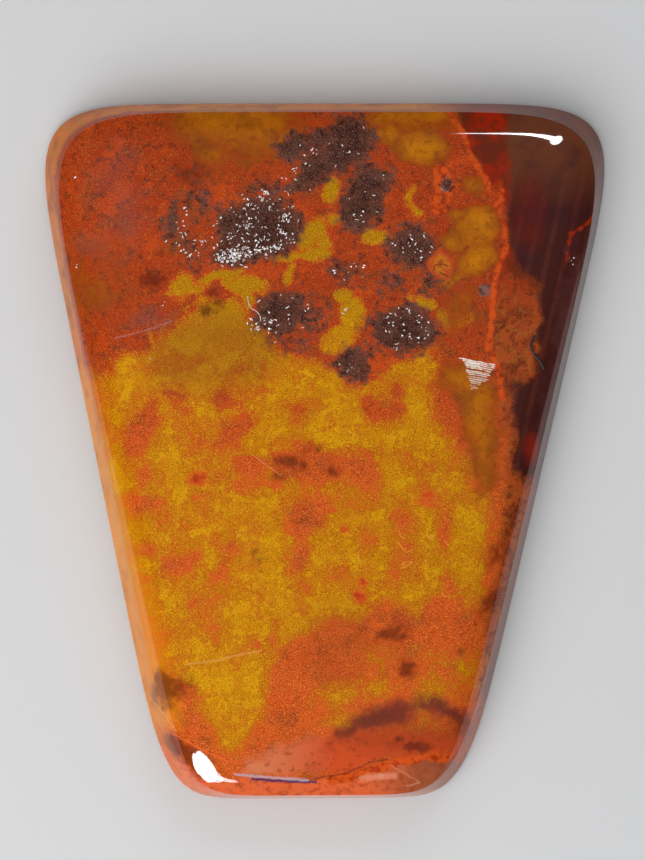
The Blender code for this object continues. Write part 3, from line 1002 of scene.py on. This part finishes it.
def agate_colour(tree, rock):
    """All the layers in their order."""
    wander, clump = rock.wander, rock.clump
    colour = yellow_colour(tree, rock, ground_colour(tree, rock))
    # Painted light: the glow, a warmer yellow along the left edge
    colour = mottled(tree, colour, (attribute(tree, "glow"), -0.3, 1.0, 0.72, (228, 142, 18)))
    colour = laid(tree, colour, "honey", honey_colour(tree, rock), wander[1], 0.5, 0.22)
    colour = laid(tree, colour, "clear_red", clear_colour(tree, rock), wander[2], 0.6, 0.2)
    colour = laid(tree, colour, "clear_dark", dark_colour(tree, rock), wander[1], 0.6, 0.25)
    colour = film(tree, colour, "streak", wander[1], 0.8, -0.35, 0.3, 0.85, (92, 40, 38))
    colour = laid(tree, colour, "glaze", glaze_colour(tree, rock), wander[2], 0.7, 0.4, 0.85)
    bubble = roughened(tree, attribute(tree, "bubble"), (clump[1], 0.7))
    colour = cover(tree, colour, ramp(tree, bubble, BUBBLE_RAMP), turned(tree, bubble, -0.08, 0.1, 0.0, 0.85))
    colour = film(tree, colour, "veil", wander[1], 1.0, -0.5, 0.9, 0.42, (120, 50, 22))
    colour = laid(tree, colour, "clean_band", band_colour(tree, rock), wander[0], 0.1, 0.05)
    colour = laid(tree, colour, "vein", vein_colour(tree, rock), clump[2], 0.5, 0.09)
    # The purple haze; along the right-hand side it is painted reflection
    colour = film(tree, colour, "haze", wander[0], 0.8, -0.35, 0.35, 0.28, (122, 76, 74))
    colour = laid(tree, colour, "smudge", paint(88, 32, 18), wander[1], 0.8, 0.25, 0.75)
    colour = ring_colour(tree, rock, spot_colour(tree, rock, colour))
    colour = laid(tree, colour, "eye", eye_colour(tree, rock), clump[0], 0.8, 0.12)
    return lit_girdle_colour(tree, rock, colour)


def with_fine_lines(tree, colour, seen_place, clump):
    """The fine lines over all the other colours, a little wavy, painted highlights among them."""
    wavy_place = vector_step(tree, "ADD", seen_place, vector_step(tree, "SCALE", clump, scale=LINE_WAVINESS))
    for shade, width, strength, stops in LINES_AND_HIGHLIGHTS:
        for start, end in zip(stops, stops[1:]):
            inputs = {"Place": wavy_place, "Start": (*start, 0.0), "End": (*end, 0.0), "Width": width}
            line = add(tree, "ShaderNodeGroup", inputs, node_tree=FINE_LINE).outputs["Mask"]
            colour = cover(tree, colour, paint(*shade), calc(tree, "MULTIPLY", line, strength))
    return colour


def colour_agate(tree, shader):
    """Join the colours and the polish to the stone's shader."""
    object_place = add(tree, "ShaderNodeTexCoord").outputs["Object"]
    place = vector_step(tree, "SCALE", object_place, scale=1.0 / MM)
    noises = add(tree, "ShaderNodeGroup", {"Place": place}, node_tree=ROCK_NOISE).outputs
    seen_place = attribute(tree, "seen", "Vector")
    x, y = list(parts(tree, seen_place))[:2]
    rock = Rock(*[parts(tree, noises[label]) for label in NOISE_LABELS], x, y)
    colour = with_fine_lines(tree, agate_colour(tree, rock), seen_place, noises["Clump"])
    feed(tree, shader.inputs["Base Color"], colour)
    shader.inputs["IOR"].default_value = QUARTZ_IOR
    in_cavity = attribute(tree, "eye")
    gloss = turned(tree, attribute(tree, "shine"), 0.0, 1.0, GIRDLE_GLOSS, CROWN_GLOSS)
    gloss = calc(tree, "MULTIPLY", gloss, turned(tree, in_cavity, -0.2, 0.1, 1.0, 0.3))
    feed(tree, shader.inputs["Specular IOR Level"], gloss)
    roughness = turned(tree, in_cavity, -0.2, 0.1, POLISH_ROUGHNESS, CAVITY_ROUGHNESS)
    feed(tree, shader.inputs["Roughness"], roughness)


colour_agate(agate_tree, agate_shader)
stone = placed("polished_stone", stone_mesh)
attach(stone, "root")
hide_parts("agate_cabochon")
print("the stone has", len(agate_tree.nodes), "shader nodes")

# %% [markdown]
# ## Glints in the dark spots
# The pockets are lined with tiny crystals. Their faces show as pale angular flakes, painted near white so
# that they read as glints, thickest in the big pocket at the upper left. Geometry Nodes scatter small
# five-sided plates over the surface, as densely as each point says, and tilt them at random so that only
# some catch the light. The areas are ovals with their turn and the number of flakes per square millimetre.

# %% Scatter the flakes
SPARKLES = [
    (-3.5, 11.6, 2.3, 1.8, 10, 17.0), (-4.4, 10.2, 1.2, 0.5, 0, 50.0), (-4.4, 10.1, 0.75, 0.5, 0, 170.0),
    (-3.0, 13.2, 1.0, 0.3, 20, 30.0), (-6.6, 10.6, 1.2, 0.5, 10, 10.0), (-7.4, 11.6, 0.9, 1.3, 0, 6.0),
    (1.0, 15.7, 1.6, 1.0, 55, 4.0), (-1.0, 14.6, 1.6, 1.2, 35, 4.0), (2.0, 13.2, 1.6, 0.9, 60, 6.0),
    (4.3, 10.55, 1.3, 0.9, -15, 6.0), (-2.2, 7.3, 1.6, 1.3, 20, 5.0), (-3.2, 6.6, 0.9, 0.6, 0, 26.0),
    (-2.9, 5.9, 0.5, 0.3, 0, 30.0), (4.0, 6.3, 1.5, 1.0, -5, 12.0), (1.4, 4.5, 0.9, 0.6, -20, 4.0),
    (1.0, 9.3, 1.1, 0.85, -35, 6.0), (12.85, 9.8, 0.2, 0.3, 0, 14.0), (-2.0, 12.2, 0.45, 0.14, 50, 110.0),
    (-2.0, 11.1, 0.45, 0.12, -30, 110.0), (-2.85, 10.45, 0.4, 0.16, 20, 110.0),
    (-5.1, 11.6, 0.5, 0.12, 70, 80.0), (-3.5, 11.6, 0.7, 0.1, -40, 90.0),
    (-3.0, 13.3, 0.5, 0.16, 10, 110.0),
]
SINGLE_SPECKS = [
    (-12.9, 14.5), (-11.95, 12.0), (-12.9, 9.6), (-9.2, 4.9), (-8.2, 7.7), (-7.1, 12.3), (1.1, 7.2),
]
SPARKLES += [(x, y, 0.1, 0.1, 0, 90.0) for x, y in SINGLE_SPECKS]
SPARKLE_FADE, SPARKLE_START = 0.35, 0.3
FLAKE_INPUTS = {"Flakes per square mm": 1.0, "Flake size": 0.068 * MM, "Tilt": math.radians(32), "Seed": 4}


def sparkle_density(places):
    """Flakes wanted per square millimetre."""
    wanted = np.zeros(len(places))
    for *oval, density in SPARKLES:
        inside = np.clip(in_ovals(places, [oval]) / SPARKLE_FADE + SPARKLE_START, 0.0, 1.0)
        wanted = np.maximum(wanted, density * inside)
    in_clusters = np.clip(0.6 + 2.5 * drift(surface, 0.45, 6)[:, 0], 0.0, 2.0)
    return wanted * in_clusters


def random_vector(tree, low, high, seed):
    """A different vector between two limits for each flake."""
    inputs = {0: low, 1: high, "Seed": seed}
    return add(tree, "FunctionNodeRandomValue", inputs, data_type="FLOAT_VECTOR").outputs[0]


def flake_tree():
    inputs = {
        "Surface": ("NodeSocketGeometry", None),
        "Flakes per square mm": ("NodeSocketFloat", 1.0),
        "Flake size": ("NodeSocketFloat", 0.05 * MM),
        "Tilt": ("NodeSocketFloat", 0.6),
        "Seed": ("NodeSocketInt", 4),
    }
    tree, given, result = new_group("flakes", "GeometryNodeTree", inputs, {"Flakes": "NodeSocketGeometry"})
    wanted = add(tree, "GeometryNodeInputNamedAttribute", {"Name": "sparkle"}, data_type="FLOAT").outputs[0]
    density = calc(tree, "MULTIPLY", wanted, given["Flakes per square mm"])
    density = calc(tree, "MULTIPLY", density, 1.0 / MM**2)  # per square metre, as the scatter node counts
    points = add(tree, "GeometryNodeDistributePointsOnFaces",
                 {"Mesh": given["Surface"], "Density": density, "Seed": given["Seed"]})
    plate = add(tree, "GeometryNodeMeshCircle", {"Vertices": 5, "Radius": 1.0}, fill_type="NGON").outputs[0]
    low = vector_step(tree, "SCALE", (-1.0, -1.0, 0.0), scale=given["Tilt"])
    high = vector_step(tree, "SCALE", (1.0, 1.0, 0.0), scale=given["Tilt"])
    low = vector_step(tree, "ADD", low, (0.0, 0.0, -math.pi))
    high = vector_step(tree, "ADD", high, (0.0, 0.0, math.pi))
    lean = random_vector(tree, low, high, 11)
    stretch = random_vector(tree, (0.5, 0.35, 1.0), (2.1, 1.0, 1.0), 12)
    size = vector_step(tree, "SCALE", stretch, scale=given["Flake size"])
    turn = add(tree, "FunctionNodeRotateRotation", {0: points.outputs["Rotation"], 1: lean},
               rotation_space="LOCAL").outputs[0]
    plates = add(tree, "GeometryNodeInstanceOnPoints",
                 {"Points": points.outputs["Points"], "Instance": plate, "Rotation": turn, "Scale": size})
    real = add(tree, "GeometryNodeRealizeInstances", {"Geometry": plates.outputs[0]})
    made = add(tree, "GeometryNodeSetMaterial", {"Geometry": real.outputs[0], "Material": flake_material()})
    tree.links.new(made.outputs[0], result["Flakes"])
    return tree


def flake_material():
    """Pale crystal faces, painted near white so that they show as glints."""
    material, tree, shader = new_material("crystal_faces_painted_glints")
    place = add(tree, "ShaderNodeTexCoord").outputs["Object"]
    inputs = {"Vector": place, "Scale": 4.0 / MM, "Detail": 1.0}
    shade = add(tree, "ShaderNodeTexNoise", inputs).outputs["Fac"]
    colour = cover(tree, paint(190, 180, 172), paint(252, 250, 248), turned(tree, shade, 0.35, 0.55))
    feed(tree, shader.inputs["Base Color"], colour)
    shader.inputs["Roughness"].default_value = 0.3
    return material


sparkle = np.where(on_crown, sparkle_density(wandering), 0.0).astype(np.float32)
sparkle_layer = stone_mesh.attributes.new("sparkle", "FLOAT", "POINT")
sparkle_layer.data.foreach_set("value", sparkle)
flake_mesh = grown_mesh("crystal_flakes", flake_tree(), FLAKE_INPUTS, stone_mesh)
flakes = placed("crystal_flakes", flake_mesh)
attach(flakes, "root")
print(len(flake_mesh.polygons), "flakes")

# %% [markdown]
# ## Two fibres
# A dark fibre lies on the clear stone at the right and a pale one below the big pocket. Each is a fine
# tube that follows the polished surface, given with its radius, its shade and the points it runs through.

# %% Lay the fibres on the stone
DARK_PATH = [(10.85, 6.0), (10.65, 5.5), (10.65, 5.2), (10.9, 4.85), (11.2, 4.6), (11.3, 4.2)]
PALE_PATH = [(-4.0, 8.1), (-3.95, 7.5), (-3.6, 7.35), (-3.35, 7.0), (-3.4, 6.8)]
FIBRES = {
    "dark_fibre": (0.055, (40, 22, 18), DARK_PATH),
    "pale_fibre": (0.02, (236, 226, 214), PALE_PATH),
}


def fibre_material(name, shade):
    material, tree, shader = new_material(name)
    place = add(tree, "ShaderNodeTexCoord").outputs["Object"]
    patchy = add(tree, "ShaderNodeTexNoise", {"Vector": place, "Scale": 5.0 / MM}).outputs["Fac"]
    darker = paint(*[part * 0.7 for part in shade])
    colour = cover(tree, darker, paint(*shade), turned(tree, patchy, 0.4, 0.6))
    feed(tree, shader.inputs["Base Color"], colour)
    shader.inputs["Roughness"].default_value = 0.8
    return material


def fibre(name, radius, shade, stops):
    """A thread through these seen places, resting on the crown."""
    path = bpy.data.curves.new(name, "CURVE")
    path.dimensions, path.bevel_depth, path.use_fill_caps = "3D", radius * MM, True
    thread = path.splines.new("NURBS")
    thread.points.add(len(stops) - 1)
    thread.order_u, thread.use_endpoint_u = 3, True
    for point, stop in zip(thread.points, stops):
        away = np.hypot(seen[:, 0] - stop[0], seen[:, 1] - stop[1]) + 9.0 * ~on_crown
        x, y, z = surface[away.argmin()] * MM
        point.co = (x, y, z + radius * MM, 1.0)
    mesh = plain_mesh(placed(name, path))
    mesh.materials.clear()
    mesh.materials.append(fibre_material(name, shade))
    mesh.shade_smooth()
    made = placed(name, mesh)
    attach(made, "root")
    return made


for name, (radius, shade, stops) in FIBRES.items():
    print(name, "has", len(fibre(name, radius, shade, stops).data.polygons), "faces")

# %% [markdown]
# ## The floor, the light and the camera
# The stone lies on a plain pale floor. Most of the light is soft: a dim room and two softboxes, all kept
# out of the reflections, as a polarising filter would do. The sharp highlights come from lamps that show
# only in the polish: a row beyond the wide end, a little to the right, a cluster on the near left and a
# faint ceiling. The camera looks almost straight down.


# %% Floor, lamps and camera
def floor_object():
    mesh = bpy.data.meshes.new("floor")
    half = 400 * MM
    corners = [(across * half, along * half, 0) for across, along in ((-1, -1), (1, -1), (1, 1), (-1, 1))]
    mesh.from_pydata(corners, [], [(0, 1, 2, 3)])
    material, _, shader = new_material("pale_floor")
    shader.inputs["Base Color"].default_value = (0.61, 0.615, 0.62, 1.0)
    shader.inputs["Roughness"].default_value = 0.85
    mesh.materials.append(material)
    return placed("floor", mesh)


def lamp(name, azimuth, from_vertical, width, height, brightness, in_polish=True, distance=300 * MM):
    """A lamp aimed at the stone, only seen in the polish or only lighting. Azimuth is clockwise from +Y."""
    data = bpy.data.lights.new(name, "AREA")
    data.shape = "ELLIPSE"
    data.size, data.size_y = width, height
    data.energy = brightness * math.pi * width * height
    azimuth, from_vertical = math.radians(azimuth), math.radians(from_vertical)
    flat = math.sin(from_vertical)
    aim = Vector((math.sin(azimuth) * flat, math.cos(azimuth) * flat, math.cos(from_vertical)))
    made = placed(name, data)
    made.location = aim * distance
    made.rotation_euler = aim.to_track_quat("Z", "Y").to_euler()
    made.visible_glossy, made.visible_diffuse = in_polish, not in_polish


floor_object()
# The row's lamps get taller from left to right
for step in range(7):
    lamp("far_lamp", 12.0 + 3.8 * step, 49, 34 * MM, (4 + 3 * step) * MM, 22.0)
lamp("far_lamp_end", 37, 49, 30 * MM, 44 * MM, 24.0)
lamp("near_lamp", -150, 63, 125 * MM, 135 * MM, 18.0)
lamp("near_lamp_corner", -141, 69, 70 * MM, 90 * MM, 18.0)
lamp("near_lamp_tail", -161, 63, 70 * MM, 66 * MM, 10.0)
lamp("near_lamp_tip", -168, 62.5, 80 * MM, 24 * MM, 10.0)
lamp("ceiling", 0, 0, 2400 * MM, 2400 * MM, 0.05, distance=1000 * MM)
lamp("near_softbox", -142, 38, 240 * MM, 240 * MM, 2.08, in_polish=False, distance=200 * MM)
lamp("far_softbox", 10, 55, 160 * MM, 160 * MM, 1.75, in_polish=False, distance=260 * MM)

world = bpy.data.worlds.new("studio")
bpy.context.scene.world = world
world.use_nodes = True
world.node_tree.nodes["Background"].inputs["Color"].default_value = (0.355, 0.355, 0.362, 1.0)
world.cycles_visibility.glossy = False
bpy.context.scene.view_settings.view_transform = "Standard"

VIEW_HEIGHT = 44.48  # what the picture shows at the level of the outline
SENSOR_HEIGHT = 36.0
camera_data = bpy.data.cameras.new("camera")
camera_data.sensor_fit = "VERTICAL"
camera_data.sensor_height = SENSOR_HEIGHT
camera_data.lens = SENSOR_HEIGHT * VIEW_DISTANCE / VIEW_HEIGHT
camera_data.clip_start = 0.01
camera = placed("camera", camera_data)
backwards = (EYE - VIEW_CENTRE).normalized()
rightwards = Vector((0.0, 1.0, 0.0)).cross(backwards).normalized()
upwards = backwards.cross(rightwards)
turn = [[rightwards[row], upwards[row], backwards[row]] for row in range(3)]
camera.rotation_euler = Matrix(turn).to_euler()
camera.location = EYE * MM
bpy.context.scene.camera = camera
